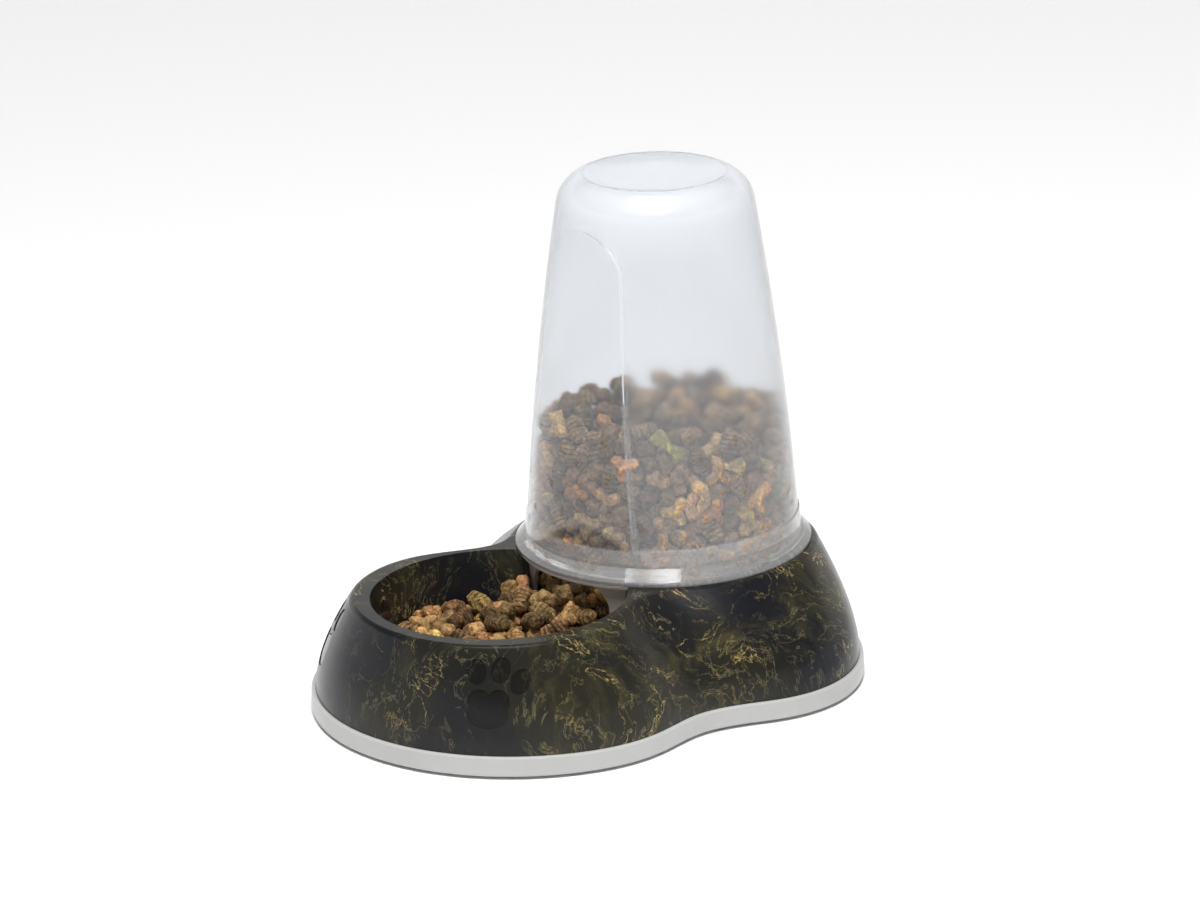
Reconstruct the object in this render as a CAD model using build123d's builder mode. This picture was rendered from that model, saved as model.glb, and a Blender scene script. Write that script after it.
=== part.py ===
"""Gravity pet feeder: a low figure-of-eight base with a bowl in front and an upside-down hopper behind.

Millimetres, +Z up, the bowl towards -Y, symmetric about X = 0.
The origin is on the ground, under the middle of the whole feeder.
"""

import os
from math import cos, radians, sin

from build123d import *

os.makedirs("parts", exist_ok=True)

# ---- layout ----
HOPPER_Y = 57.9           # vertical axis of the hopper, the well and the throat insert
BOWL_Y = -48.0            # vertical axis of the bowl
FOOT_GAP = 1.5            # the base stands this high on its rubber feet
BAND_TOP = 10.8           # top of the light band round the foot of the base
SHELL_TOP = 57.0          # flat top of the dark shell, where the hopper stands
WALL = 2.4                # moulded wall of the shell and the tray

# ---- plan of the skirt at the band (low) and at the rim (high) ----
LOW_FRONT = {"y": -33.0, "rx": 99.4, "ry": 99.4, "end": -25.0}
HIGH_FRONT = {"y": -51.3, "rx": 69.3, "ry": 64.8, "end": -10.0}
LOW_REAR = {"y": 52.0, "rx": 112.2, "ry": 80.4, "start": -20.0}
HIGH_REAR = {"y": HOPPER_Y, "rx": 73.2, "ry": 73.2, "start": -33.0}
LOW_WAIST = [(97.0, -39.1), (93.5, -11.1)]
HIGH_WAIST = [(66.4, -37.1), (52.6, -0.6)]
FRONT_BULGE = 1.6         # exponents of the skirt's convex profile
WAIST_BULGE = 1.75
REAR_BULGE = 1.9
SKIRT_LEVELS = 5
RIM_ROUND = 3.0

# ---- bowl and well ----
FLOOR_TOP = 12.4
BOWL_RIM_R = 60.6
BOWL_FLOOR_R = 53.5
BOWL_CORNER_R = 14.0
BASIN_WALL = 2.0
BASIN_OVERLAP = 1.2       # how far the basin walls run up into the shell's top
WELL_R = 66.4
SEAT_R = 70.0             # rebate in the shell's top that takes the lip of the throat insert
SEAT_DEPTH = 1.8

# ---- paw prints pressed into both sides of the front of the skirt ----
PAW_DEPTH = 0.5
PAW_TURN = 38.0           # degrees round from the front, about the front lobe's axis
PAW_HEIGHT = 31.5         # middle of the palm pad
PAW_PAD = (19.0, 12.0)    # width and height of the foot of the palm pad
PAW_PAD_DROP = 2.2
PAW_LOBE_R = 5.4          # the two lobes at the head of the palm pad
PAW_LOBE = (4.3, 2.8)
PAW_TOE = (9.0, 10.6)
PAW_TOES = [(-6.1, 15.4, 12.0), (4.9, 16.0, -8.0), (14.0, 11.2, -26.0)]

# ---- bottom tray ----
BAND_PROUD = 1.9
BAND_EDGE = 0.8
TRAY_FLOOR = 2.0
TRAY_FIT = 0.5
TRAY_UPSTAND_TOP = 13.5
TRAY_UPSTAND = 1.4
RIB_THICK = 1.8
RIB_PITCH = 36.0
RIB_COUNT = 7
RIB_LENGTH = 300.0

# ---- rubber feet ----
FOOT_R = 8.0
FOOT_FIT = 0.1
FOOT_RECESS = 0.8
FOOT_EDGE = 0.5
FOOT_DIMPLE_R = 4.5
FOOT_PLACES = {
    "foot_front_left": (-60.0, -84.0),
    "foot_front_right": (60.0, -84.0),
    "foot_rear_left": (-76.0, 88.0),
    "foot_rear_right": (76.0, 88.0),
}

# ---- throat insert ----
NECK_R = 66.0
NECK_WALL = 2.0
NECK_FOOT_GAP = 0.3
LIP_R = 69.7
MOUTH_HALF_WIDTH = 26.5
MOUTH_TOP = 54.2
MOUTH_SILL = 15.0
MOUTH_CORNER_R = 12.0
CHUTE_THICK = 2.0
CHUTE_BACK = (63.0, 50.0)   # y from the hopper's axis, height: high end of the slope
CHUTE_FRONT = (2.0, 15.0)   # low end of the slope
CHUTE_LIP = -63.0           # front edge of the flat floor, y from the hopper's axis

# ---- hopper ----
HOPPER_WALL = 1.6
HOPPER_TOP = 239.7
HOPPER_FOOT_R = 66.0        # wall radius extrapolated to the flange
HOPPER_HEAD_R = 44.4        # wall radius extrapolated to the top
HOPPER_BULGE = 2.5          # how far the wall swells outside a straight cone
FLANGE_MID = 57.75
FLANGE_R = 71.1
BEAD_HEIGHT = 2.4
FLARE_TOP = 65.6
SPIGOT_R = 63.5
SPIGOT_DEPTH = 6.0
SPIGOT_GAP = 72.0           # width of the gap in the spigot in front of the mouth
SHOULDER_START = 226.0
DISH_R = 34.0               # shallow dish in the crown, from the end of the rounded shoulder
DISH_FLAT_R = 12.0
DISH_DEPTH = 1.6
PANEL_STEP = 0.6            # the polished window and band stand this proud of the frosted wall
PANEL_LOW = 72.7            # lower edge of the frosted wall
WINDOW_FOOT_HALF = 37.0
WINDOW_HEAD_R = 24.0
WINDOW_HEAD_Z = 196.5
WINDOW_CORNER_R = 13.0
LUG_SIZE = (2.4, 5.0, 2.0)  # the small grip lugs on the flange, one on each side
LUG_R = 69.2

# ---- dry food ----
FOOD_GAP = 0.4
FOOD_JOIN = 57.0            # the food in the hopper and in the throat meet here
THROAT_FOOD_R = 61.4
HOPPER_FILL = 144.0
HOPPER_FILL_CROWN = 151.0
BOWL_FILL = 38.0            # height of the food's surface at the bowl's axis
BOWL_FILL_SLOPE = 6.0       # degrees, rising towards the throat

BOWL_AXIS = Axis((0, BOWL_Y, 0), (0, 0, 1))
HOPPER_AXIS = Axis((0, HOPPER_Y, 0), (0, 0, 1))
UPWARDS = (Align.CENTER, Align.CENTER, Align.MIN)


def between(low, high, share):
    """Value, pair or dictionary part of the way from low to high."""
    if isinstance(low, dict):
        return {key: between(low[key], high[key], share) for key in low}
    if isinstance(low, tuple):
        return tuple(between(a, b, share) for a, b in zip(low, high))
    return low + (high - low) * share


def skirt_section(height, inset=0.0):
    """Face inside the figure-of-eight outline of the skirt at a height, pulled in by inset."""
    rise = max(0.0, (height - BAND_TOP) / (SHELL_TOP - BAND_TOP))
    front = between(LOW_FRONT, HIGH_FRONT, rise**FRONT_BULGE)
    rear = between(LOW_REAR, HIGH_REAR, rise**REAR_BULGE)
    waist = [between(low, high, rise**WAIST_BULGE) for low, high in zip(LOW_WAIST, HIGH_WAIST)]
    with BuildSketch(Plane.XY.offset(height)) as section:
        with BuildLine():
            front_arc = EllipticalCenterArc(
                (0, front["y"]),
                front["rx"] - inset,
                front["ry"] - inset,
                -90,
                arc_size=90 + front["end"],
            )
            rear_arc = EllipticalCenterArc(
                (0, rear["y"]),
                rear["rx"] - inset,
                rear["ry"] - inset,
                rear["start"],
                arc_size=90 - rear["start"],
            )
            Spline(
                front_arc @ 1,
                *[(x - inset, y) for x, y in waist],
                rear_arc @ 0,
                tangents=(front_arc % 1, rear_arc % 0),
            )
            mirror(about=Plane.YZ)
        make_face()
    return section.sketch.face()


def skirt_levels(low, high):
    """Heights of the loft's sections from low to high."""
    return [low + (high - low) * i / (SKIRT_LEVELS - 1) for i in range(SKIRT_LEVELS)]


def wall_radius(height):
    """Outer radius of the hopper's frosted wall."""
    share = (height - FLANGE_MID) / (HOPPER_TOP - FLANGE_MID)
    swell = HOPPER_BULGE * 4 * share * (1 - share)
    return HOPPER_FOOT_R + (HOPPER_HEAD_R - HOPPER_FOOT_R) * share + swell


def finish(piece, name):
    """Name a finished piece and write it out."""
    piece.part.label = name
    export_step(piece.part, f"parts/{name}.step")


# ------------------------------------------------------------------ outer shell
def basin_profile(radius, floor_radius, floor, top, corner):
    """Half section of the bowl: floor, rounded corner and a wall that leans outwards."""
    with BuildSketch(Plane.XZ.offset(-BOWL_Y)) as profile:
        with BuildLine():
            Polyline((0, floor), (floor_radius, floor), (radius, top), (0, top), (0, floor))
        make_face()
        corner_point = profile.vertices().sort_by_distance((floor_radius, BOWL_Y, floor))[0]
        fillet(corner_point, corner)
    return profile.sketch


def paw_sketch(side):
    """Palm pad and three toes on a plane that faces out of the skirt, on side -1 or +1."""
    turn = radians(PAW_TURN) * side
    outwards = Vector(sin(turn), -cos(turn), 0)
    middle = Vector(0, LOW_FRONT["y"], PAW_HEIGHT) + outwards * LOW_FRONT["ry"]
    facing = Plane(origin=middle, x_dir=(cos(turn), sin(turn), 0), z_dir=outwards)
    with BuildSketch(facing) as paw:
        with Locations((0, -PAW_PAD_DROP)):
            Ellipse(PAW_PAD[0] / 2, PAW_PAD[1] / 2)
        with Locations((-PAW_LOBE[0], PAW_LOBE[1]), PAW_LOBE):
            Circle(PAW_LOBE_R)
        for x, y, lean in PAW_TOES:
            with Locations(Location((x * side, y, 0), (0, 0, lean * side))):
                Ellipse(PAW_TOE[0] / 2, PAW_TOE[1] / 2)
    return paw.sketch


with BuildPart() as paw_columns:
    for paw_side in (-1, 1):
        extrude(paw_sketch(paw_side), amount=-LOW_FRONT["ry"] / 2)

with BuildPart() as paw_prints:
    loft([skirt_section(z) for z in skirt_levels(BAND_TOP, SHELL_TOP)])
    loft(
        [skirt_section(z, PAW_DEPTH) for z in skirt_levels(BAND_TOP, SHELL_TOP)],
        mode=Mode.SUBTRACT,
    )
    add(paw_columns.part, mode=Mode.INTERSECT)

with BuildPart() as outer_shell:
    loft([skirt_section(z) for z in skirt_levels(BAND_TOP, SHELL_TOP)])
    fillet(outer_shell.faces().sort_by(Axis.Z)[-1].edges(), RIM_ROUND)
    underside = [BAND_TOP - 1.0] + skirt_levels(BAND_TOP, SHELL_TOP - WALL)[1:]
    loft([skirt_section(z, WALL) for z in underside], mode=Mode.SUBTRACT)
    revolve(
        basin_profile(
            BOWL_RIM_R + BASIN_WALL,
            BOWL_FLOOR_R + BASIN_WALL,
            FLOOR_TOP - BASIN_WALL,
            SHELL_TOP - BASIN_OVERLAP,
            BOWL_CORNER_R + BASIN_WALL,
        ),
        axis=BOWL_AXIS,
    )
    with Locations((0, HOPPER_Y, FLOOR_TOP - BASIN_WALL)):
        well_height = SHELL_TOP - BASIN_OVERLAP - FLOOR_TOP + BASIN_WALL
        Cylinder(WELL_R + BASIN_WALL, well_height, align=UPWARDS)
    revolve(
        basin_profile(BOWL_RIM_R, BOWL_FLOOR_R, FLOOR_TOP, SHELL_TOP + 1, BOWL_CORNER_R),
        axis=BOWL_AXIS,
        mode=Mode.SUBTRACT,
    )
    with Locations((0, HOPPER_Y, FLOOR_TOP)):
        Cylinder(WELL_R, SHELL_TOP, align=UPWARDS, mode=Mode.SUBTRACT)
    with Locations((0, HOPPER_Y, SHELL_TOP - SEAT_DEPTH)):
        Cylinder(SEAT_R, SHELL_TOP, align=UPWARDS, mode=Mode.SUBTRACT)
    add(paw_prints.part, mode=Mode.SUBTRACT)
finish(outer_shell, "outer_shell")


# ------------------------------------------------------------------ bottom tray
with BuildPart() as bottom_tray:
    extrude(skirt_section(FOOT_GAP, -BAND_PROUD), amount=BAND_TOP - FOOT_GAP)
    for rim_face in (bottom_tray.faces().sort_by(Axis.Z)[-1], bottom_tray.faces().sort_by(Axis.Z)[0]):
        fillet(rim_face.edges(), BAND_EDGE)
    upstand_inset = WALL + TRAY_FIT
    extrude(skirt_section(BAND_TOP, upstand_inset), amount=TRAY_UPSTAND_TOP - BAND_TOP)
    hollow_inset = upstand_inset + TRAY_UPSTAND
    extrude(
        skirt_section(FOOT_GAP + TRAY_FLOOR, hollow_inset),
        amount=TRAY_UPSTAND_TOP,
        mode=Mode.SUBTRACT,
    )
    with BuildSketch(Plane.XY.offset(FOOT_GAP + TRAY_FLOOR)) as rib_plan:
        with GridLocations(RIB_PITCH, 0, RIB_COUNT, 1):
            Rectangle(RIB_THICK, RIB_LENGTH)
        with GridLocations(0, RIB_PITCH, 1, RIB_COUNT):
            Rectangle(RIB_LENGTH, RIB_THICK)
        add(skirt_section(FOOT_GAP + TRAY_FLOOR, hollow_inset), mode=Mode.INTERSECT)
    extrude(rib_plan.sketch, amount=FLOOR_TOP - BASIN_WALL - FOOT_GAP - TRAY_FLOOR)
    for foot_x, foot_y in FOOT_PLACES.values():
        with Locations((foot_x, foot_y, FOOT_GAP)):
            Cylinder(FOOT_R + FOOT_FIT, FOOT_RECESS, align=UPWARDS, mode=Mode.SUBTRACT)
finish(bottom_tray, "bottom_tray")


# ------------------------------------------------------------------ rubber feet
def rubber_foot(x, y):
    """A disc with a rounded tread and a shallow suction dimple."""
    with BuildPart() as foot:
        with Locations((x, y, 0)):
            Cylinder(FOOT_R, FOOT_GAP + FOOT_RECESS, align=UPWARDS)
        fillet(foot.faces().sort_by(Axis.Z)[0].edges(), FOOT_EDGE)
        with Locations((x, y, 0)):
            Cylinder(FOOT_DIMPLE_R, FOOT_EDGE, align=UPWARDS, mode=Mode.SUBTRACT)
    return foot


for foot_name, (foot_x, foot_y) in FOOT_PLACES.items():
    finish(rubber_foot(foot_x, foot_y), foot_name)


# ------------------------------------------------------------------ throat insert
def chute_profile(thickness):
    """Side section of the chute: a slope from the back wall down to a flat floor at the mouth."""
    back_y, back_z = CHUTE_BACK
    front_y, front_z = CHUTE_FRONT
    with BuildSketch(Plane.YZ) as side:
        with BuildLine():
            Polyline(
                (HOPPER_Y + back_y, back_z),
                (HOPPER_Y + front_y, front_z),
                (HOPPER_Y + CHUTE_LIP, front_z),
                (HOPPER_Y + CHUTE_LIP, front_z - thickness),
                (HOPPER_Y + front_y, front_z - thickness),
                (HOPPER_Y + back_y, back_z - thickness),
                (HOPPER_Y + back_y, back_z),
            )
        make_face()
    return side.sketch


with BuildPart() as chute:
    extrude(chute_profile(CHUTE_THICK), amount=NECK_R, both=True)
    with Locations((0, HOPPER_Y, 0)):
        Cylinder(NECK_R - NECK_WALL / 2, SHELL_TOP, align=UPWARDS, mode=Mode.INTERSECT)

with BuildPart() as throat_insert:
    neck_foot = FLOOR_TOP + NECK_FOOT_GAP
    with Locations((0, HOPPER_Y, neck_foot)):
        Cylinder(NECK_R, SHELL_TOP - neck_foot, align=UPWARDS)
    with Locations((0, HOPPER_Y, SHELL_TOP - SEAT_DEPTH)):
        Cylinder(LIP_R, SEAT_DEPTH, align=UPWARDS)
    with Locations((0, HOPPER_Y, neck_foot)):
        Cylinder(NECK_R - NECK_WALL, SHELL_TOP, align=UPWARDS, mode=Mode.SUBTRACT)
    add(chute.part)
    with BuildSketch(Plane.XZ.offset(-HOPPER_Y)) as mouth:
        with Locations((0, MOUTH_SILL)):
            Rectangle(
                2 * MOUTH_HALF_WIDTH,
                MOUTH_TOP - MOUTH_SILL,
                align=(Align.CENTER, Align.MIN),
            )
        fillet(mouth.vertices().group_by(Axis.Z)[-1], MOUTH_CORNER_R)
    extrude(mouth.sketch, amount=NECK_R + 1, mode=Mode.SUBTRACT)
finish(throat_insert, "throat_insert")


# ------------------------------------------------------------------ hopper
def wall_line(offset, low, high, count=6):
    """Points up the hopper's wall at a radial offset, for a spline."""
    heights = [low + (high - low) * i / (count - 1) for i in range(count)]
    return [(wall_radius(z) + offset, z) for z in heights]


def hopper_half(offset, foot_points, crown_drop):
    """Half section of the hopper's envelope, pulled in by -offset, from its foot to its dished crown."""
    wall = wall_line(offset, FLARE_TOP, SHOULDER_START)
    crown = HOPPER_TOP - crown_drop
    with BuildSketch(Plane.XZ.offset(-HOPPER_Y)) as half:
        with BuildLine():
            Polyline(*foot_points, wall[0])
            side = Spline(*wall)
            TangentArc(side @ 1, (DISH_R, crown), tangent=side % 1)
            TangentArc((DISH_FLAT_R, crown - DISH_DEPTH), (DISH_R, crown), tangent=(1, 0))
            Polyline((DISH_FLAT_R, crown - DISH_DEPTH), (0, crown - DISH_DEPTH), foot_points[0])
        make_face()
    return half.sketch


OUTER_FOOT = [
    (0, SHELL_TOP),
    (FLANGE_R - BEAD_HEIGHT / 4, SHELL_TOP),
    (FLANGE_R, SHELL_TOP + BEAD_HEIGHT / 4),
    (FLANGE_R, SHELL_TOP + BEAD_HEIGHT * 3 / 4),
    (FLANGE_R - BEAD_HEIGHT / 4, SHELL_TOP + BEAD_HEIGHT),
]
INNER_FOOT = [
    (0, SHELL_TOP - 1),
    (SPIGOT_R - HOPPER_WALL, SHELL_TOP - 1),
    (SPIGOT_R - HOPPER_WALL, SHELL_TOP + BEAD_HEIGHT),
]

with BuildPart() as proud_panel:
    with BuildSketch(Plane.XZ.offset(-HOPPER_Y)) as proud_ring:
        with BuildLine():
            outside = Spline(*wall_line(PANEL_STEP, FLARE_TOP - 1, SHOULDER_START))
            inside = Spline(*wall_line(-HOPPER_WALL / 2, FLARE_TOP - 1, SHOULDER_START))
            Line(outside @ 0, inside @ 0)
            Line(outside @ 1, inside @ 1)
        make_face()
    revolve(proud_ring.sketch, axis=HOPPER_AXIS)

with BuildPart() as window_column:
    with BuildSketch(Plane.XZ.offset(-HOPPER_Y)) as window:
        with BuildLine():
            left_foot = (-WINDOW_FOOT_HALF, PANEL_LOW)
            right_foot = (WINDOW_FOOT_HALF, PANEL_LOW)
            head_left = (-WINDOW_HEAD_R, WINDOW_HEAD_Z)
            head_right = (WINDOW_HEAD_R, WINDOW_HEAD_Z)
            Line(left_foot, head_left)
            ThreePointArc(head_left, (0, WINDOW_HEAD_Z + WINDOW_HEAD_R), head_right)
            Line(head_right, right_foot)
            Polyline(
                right_foot,
                (FLANGE_R, PANEL_LOW),
                (FLANGE_R, SHELL_TOP),
                (-FLANGE_R, SHELL_TOP),
                (-FLANGE_R, PANEL_LOW),
                left_foot,
            )
        make_face()
        feet = [p for p in window.vertices() if abs(abs(p.X) - WINDOW_FOOT_HALF) < 0.1]
        fillet(feet, WINDOW_CORNER_R)
    extrude(window.sketch, amount=FLANGE_R)
    with Locations((0, HOPPER_Y, SHELL_TOP)):
        Cylinder(FLANGE_R, PANEL_LOW - SHELL_TOP, align=UPWARDS)
    add(proud_panel.part, mode=Mode.INTERSECT)

with BuildPart() as hopper:
    revolve(hopper_half(0, OUTER_FOOT, 0), axis=HOPPER_AXIS)
    add(window_column.part)
    with Locations((0, HOPPER_Y, SHELL_TOP - SPIGOT_DEPTH)):
        Cylinder(SPIGOT_R, SPIGOT_DEPTH + 1, align=UPWARDS)
    with Locations((0, HOPPER_Y - SPIGOT_R, SHELL_TOP - SPIGOT_DEPTH)):
        Box(SPIGOT_GAP, SPIGOT_R, SPIGOT_DEPTH, align=UPWARDS, mode=Mode.SUBTRACT)
    with Locations((0, HOPPER_Y, SHELL_TOP - SPIGOT_DEPTH)):
        Cylinder(SPIGOT_R - HOPPER_WALL, SPIGOT_DEPTH, align=UPWARDS, mode=Mode.SUBTRACT)
    revolve(
        hopper_half(-HOPPER_WALL, INNER_FOOT, HOPPER_WALL), axis=HOPPER_AXIS, mode=Mode.SUBTRACT
    )
    for lug_side in (-1, 1):
        with Locations((lug_side * LUG_R, HOPPER_Y, SHELL_TOP + BEAD_HEIGHT)):
            Box(LUG_SIZE[0], LUG_SIZE[1], LUG_SIZE[2], align=UPWARDS)
finish(hopper, "hopper")


# ------------------------------------------------------------------ dry food
with BuildPart() as kibble_in_hopper:
    with BuildSketch(Plane.XZ.offset(-HOPPER_Y)) as food_half:
        with BuildLine():
            food_offset = -HOPPER_WALL - FOOD_GAP
            food_wall = wall_line(food_offset, FLARE_TOP + 1, HOPPER_FILL)
            food_foot = (THROAT_FOOD_R, FOOD_JOIN + FOOD_GAP / 2)
            Polyline((0, food_foot[1]), food_foot, (THROAT_FOOD_R, FLARE_TOP - 3), food_wall[0])
            food_side = Spline(*food_wall)
            food_heap = Line(food_side @ 1, (0, HOPPER_FILL_CROWN))
            Line(food_heap @ 1, (0, food_foot[1]))
        make_face()
    revolve(food_half.sketch, axis=HOPPER_AXIS)
finish(kibble_in_hopper, "kibble_in_hopper")

with BuildPart() as kibble_in_throat:
    with BuildSketch(Plane.YZ) as food_side_view:
        food_top = FOOD_JOIN - FOOD_GAP / 2
        with BuildLine():
            Polyline(
                (HOPPER_Y + THROAT_FOOD_R, food_top),
                (HOPPER_Y + THROAT_FOOD_R, CHUTE_BACK[1] + FOOD_GAP),
                (HOPPER_Y + CHUTE_FRONT[0], CHUTE_FRONT[1] + FOOD_GAP),
                (HOPPER_Y - THROAT_FOOD_R, CHUTE_FRONT[1] + FOOD_GAP),
                (HOPPER_Y - THROAT_FOOD_R, food_top),
                (HOPPER_Y + THROAT_FOOD_R, food_top),
            )
        make_face()
    extrude(food_side_view.sketch, amount=THROAT_FOOD_R, both=True)
    with Locations((0, HOPPER_Y, 0)):
        Cylinder(THROAT_FOOD_R, SHELL_TOP, align=UPWARDS, mode=Mode.INTERSECT)
finish(kibble_in_throat, "kibble_in_throat")

with BuildPart() as kibble_in_bowl:
    revolve(
        basin_profile(
            BOWL_RIM_R - FOOD_GAP,
            BOWL_FLOOR_R - FOOD_GAP,
            FLOOR_TOP + FOOD_GAP,
            SHELL_TOP + 1,
            BOWL_CORNER_R - FOOD_GAP,
        ),
        axis=BOWL_AXIS,
    )
    with Locations((0, HOPPER_Y, 0)):
        Cylinder(WELL_R + BASIN_WALL + FOOD_GAP, 2 * SHELL_TOP, mode=Mode.SUBTRACT)
    surface = Plane(origin=(0, BOWL_Y, BOWL_FILL)).rotated((BOWL_FILL_SLOPE, 0, 0))
    split(bisect_by=surface, keep=Keep.BOTTOM)
finish(kibble_in_bowl, "kibble_in_bowl")
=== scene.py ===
"""Looks of the gravity pet feeder: marbled shell, pale band, frosted hopper and the dry food in it.

Metres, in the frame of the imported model: +Z up, the bowl towards -Y.
"""

import math

import bmesh
import bpy
import numpy as np
from mathutils import Matrix, Vector, noise


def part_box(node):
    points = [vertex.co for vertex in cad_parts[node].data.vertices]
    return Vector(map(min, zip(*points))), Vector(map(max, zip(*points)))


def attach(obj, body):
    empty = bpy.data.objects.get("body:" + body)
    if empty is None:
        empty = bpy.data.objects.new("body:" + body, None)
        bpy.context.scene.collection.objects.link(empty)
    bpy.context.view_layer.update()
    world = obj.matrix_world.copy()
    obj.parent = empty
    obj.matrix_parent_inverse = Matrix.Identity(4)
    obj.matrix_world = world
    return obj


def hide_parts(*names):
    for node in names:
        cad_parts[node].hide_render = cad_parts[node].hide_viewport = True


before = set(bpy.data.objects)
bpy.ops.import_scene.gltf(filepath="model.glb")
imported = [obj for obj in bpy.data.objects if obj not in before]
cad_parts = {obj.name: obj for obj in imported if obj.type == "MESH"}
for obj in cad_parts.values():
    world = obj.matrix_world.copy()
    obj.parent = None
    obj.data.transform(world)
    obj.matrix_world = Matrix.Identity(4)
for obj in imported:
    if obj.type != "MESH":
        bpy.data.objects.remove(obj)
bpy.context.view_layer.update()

SEED = 11

# ---- camera: from the front right, a little above the feeder ----
CAMERA_TURN = math.radians(48.0)
CAMERA_RISE = math.radians(18.723)
CAMERA_ROLL = math.radians(-1.730)
CAMERA_DISTANCE = 2.354184
CAMERA_TARGET = Vector((0.0, 0.0079, 0.1115))
CAMERA_LENS = 150.0
CAMERA_SENSOR = 36.0
CAMERA_SHIFT = (0.01366, 0.003735)

# ---- the feeder, as its CAD gives it ----
HOPPER_LOW, HOPPER_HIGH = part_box("hopper")
HOPPER_Y = (HOPPER_LOW.y + HOPPER_HIGH.y) / 2
BOWL_Y = -0.048
SHELL_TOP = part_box("outer_shell")[1].z
HOPPER_TOP = HOPPER_HIGH.z
FLANGE_MID = 0.05775
HOPPER_FOOT_R = 0.0660
HOPPER_HEAD_R = 0.0444
HOPPER_BULGE = 0.0025
HOPPER_WALL = 0.0016
PANEL_LOW = 0.0727
WINDOW_FOOT_HALF = 0.037
WINDOW_HEAD_R = 0.024
WINDOW_HEAD_Z = 0.1965
NECK_R = 0.066
CHUTE_BACK = (0.063, 0.050)
CHUTE_FRONT = (0.002, 0.015)
BOWL_FLOOR = 0.0124
BOWL_FLOOR_R = 0.0535
BOWL_RIM_R = 0.0606
LOW_FRONT_Y = -0.033
LOW_FRONT_R = 0.0994
PAW_TURN = math.radians(38.0)
PAW_HEIGHT = 0.0315
PAW_PADS = [  # across, up, width, height, lean in degrees: palm, its two lobes, three toes
    (0.0, -0.0022, 0.0190, 0.0120, 0.0),
    (-0.0043, 0.0028, 0.0108, 0.0108, 0.0),
    (0.0043, 0.0028, 0.0108, 0.0108, 0.0),
    (-0.0061, 0.0154, 0.0090, 0.0106, 12.0),
    (0.0049, 0.0160, 0.0090, 0.0106, -8.0),
    (0.0140, 0.0112, 0.0090, 0.0106, -26.0),
]


# ------------------------------------------------------------------ camera, light and floor
def add_camera():
    """The camera, turned round the feeder, rolled a little and shifted to frame it."""
    back = Vector((
        math.sin(CAMERA_TURN) * math.cos(CAMERA_RISE),
        -math.cos(CAMERA_TURN) * math.cos(CAMERA_RISE),
        math.sin(CAMERA_RISE),
    ))
    level_right = Vector((math.cos(CAMERA_TURN), math.sin(CAMERA_TURN), 0.0))
    level_up = back.cross(level_right)
    right = level_right * math.cos(CAMERA_ROLL) + level_up * math.sin(CAMERA_ROLL)
    up = level_up * math.cos(CAMERA_ROLL) - level_right * math.sin(CAMERA_ROLL)
    data = bpy.data.cameras.new("camera")
    data.sensor_width = CAMERA_SENSOR
    data.lens = CAMERA_LENS
    data.shift_x, data.shift_y = CAMERA_SHIFT
    camera = bpy.data.objects.new("camera", data)
    turn = Matrix((right, up, back)).transposed()
    camera.matrix_world = Matrix.Translation(CAMERA_TARGET + back * CAMERA_DISTANCE) @ turn.to_4x4()
    bpy.context.scene.collection.objects.link(camera)
    bpy.context.scene.camera = camera


def node(tree, kind, inputs=None, **settings):
    """A new node with its properties set, and its inputs given values or linked to sockets."""
    made = tree.nodes.new("ShaderNode" + kind)
    for name, value in settings.items():
        setattr(made, name, value)
    for name, value in (inputs or {}).items():
        if isinstance(value, bpy.types.NodeSocket):
            tree.links.new(value, made.inputs[name])
        else:
            made.inputs[name].default_value = value
    return made


def maths(tree, operation, first, second=0.0):
    """The result of a Math node."""
    return node(tree, "Math", {0: first, 1: second}, operation=operation).outputs[0]


def remap(tree, value, low, high, to_low=0.0, to_high=1.0, smooth=False):
    """The result of a Map Range node, clamped."""
    made = node(tree, "MapRange", {
        "Value": value, "From Min": low, "From Max": high, "To Min": to_low, "To Max": to_high,
    })
    made.interpolation_type = "SMOOTHSTEP" if smooth else "LINEAR"
    return made.outputs["Result"]


def mix_colour(tree, share, first, second):
    """Two colours mixed by a share."""
    made = node(tree, "Mix", data_type="RGBA")
    for name, value in (("Factor", share), ("A", first), ("B", second)):
        socket = next(s for s in made.inputs if s.name == name and s.enabled)
        if isinstance(value, bpy.types.NodeSocket):
            tree.links.new(value, socket)
        else:
            socket.default_value = value if name == "Factor" else (*value, 1.0)
    return next(s for s in made.outputs if s.enabled)


HORIZON_LIGHT = 0.85
MIDDLE_LIGHT = 0.10
RING_FADE = (0.32, 0.48)
CEILING_LIGHT = 3.2
CEILING_FADE = (0.955, 0.985)
BACKDROP_WHITE = 1.0


def light_world():
    """A pale studio: a bright ring at the horizon, dim air above it and a lit ceiling panel."""
    world = bpy.data.worlds.new("studio")
    world.use_nodes = True
    tree = world.node_tree
    tree.nodes.clear()
    way = node(tree, "TexCoord").outputs["Generated"]
    rise = node(tree, "SeparateXYZ", {0: way}).outputs["Z"]
    strength = remap(tree, rise, *RING_FADE, HORIZON_LIGHT, MIDDLE_LIGHT, smooth=True)
    ceiling = remap(tree, rise, *CEILING_FADE, 0.0, CEILING_LIGHT, smooth=True)
    strength = maths(tree, "ADD", strength, ceiling)
    seen = node(tree, "LightPath").outputs["Is Camera Ray"]
    strength = remap(tree, seen, 0.0, 1.0, strength, BACKDROP_WHITE)
    shade = node(tree, "Background", {"Color": (1.0, 1.0, 1.0, 1.0), "Strength": strength})
    output = node(tree, "OutputWorld")
    tree.links.new(shade.outputs[0], output.inputs["Surface"])
    bpy.context.scene.world = world


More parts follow.
